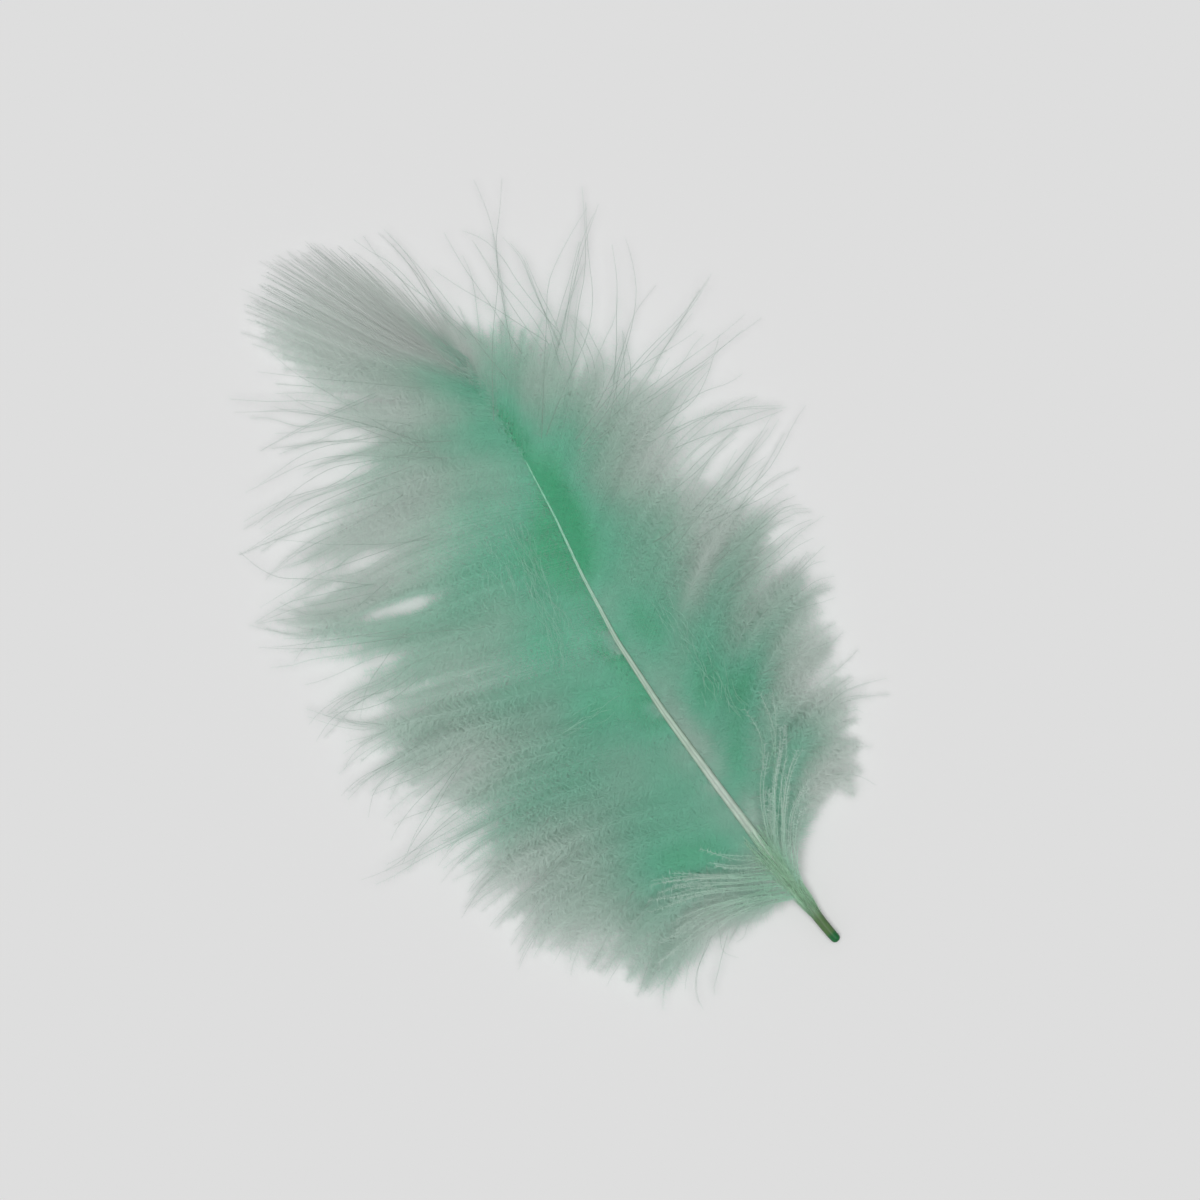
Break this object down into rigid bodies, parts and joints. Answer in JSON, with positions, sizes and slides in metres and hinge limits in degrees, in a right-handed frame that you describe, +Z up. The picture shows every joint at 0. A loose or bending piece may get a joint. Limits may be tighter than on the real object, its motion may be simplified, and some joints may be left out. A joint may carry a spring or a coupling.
{
  "type": "marabou feather",
  "caption": "Loose downy feather lying on its side: a short bare quill, a curved grooved shaft and soft locks of mint green down along both sides.",
  "frame": {"origin": "the middle of the feather's extents, on the surface that it lies on", "axes": "+Y along the feather from its quill to its tip, +Z up, with the grooved side of the shaft facing up, +X to the right of the shaft seen from above"},
  "size_m": [0.0948, 0.1245, 0.0089],
  "materials": {
    "down": "soft, matt, slightly translucent down, dyed mint green, greyer at its tips"
  },
  "bodies": {
    "root": {"feather": "down"}
  },
  "joints": []
}
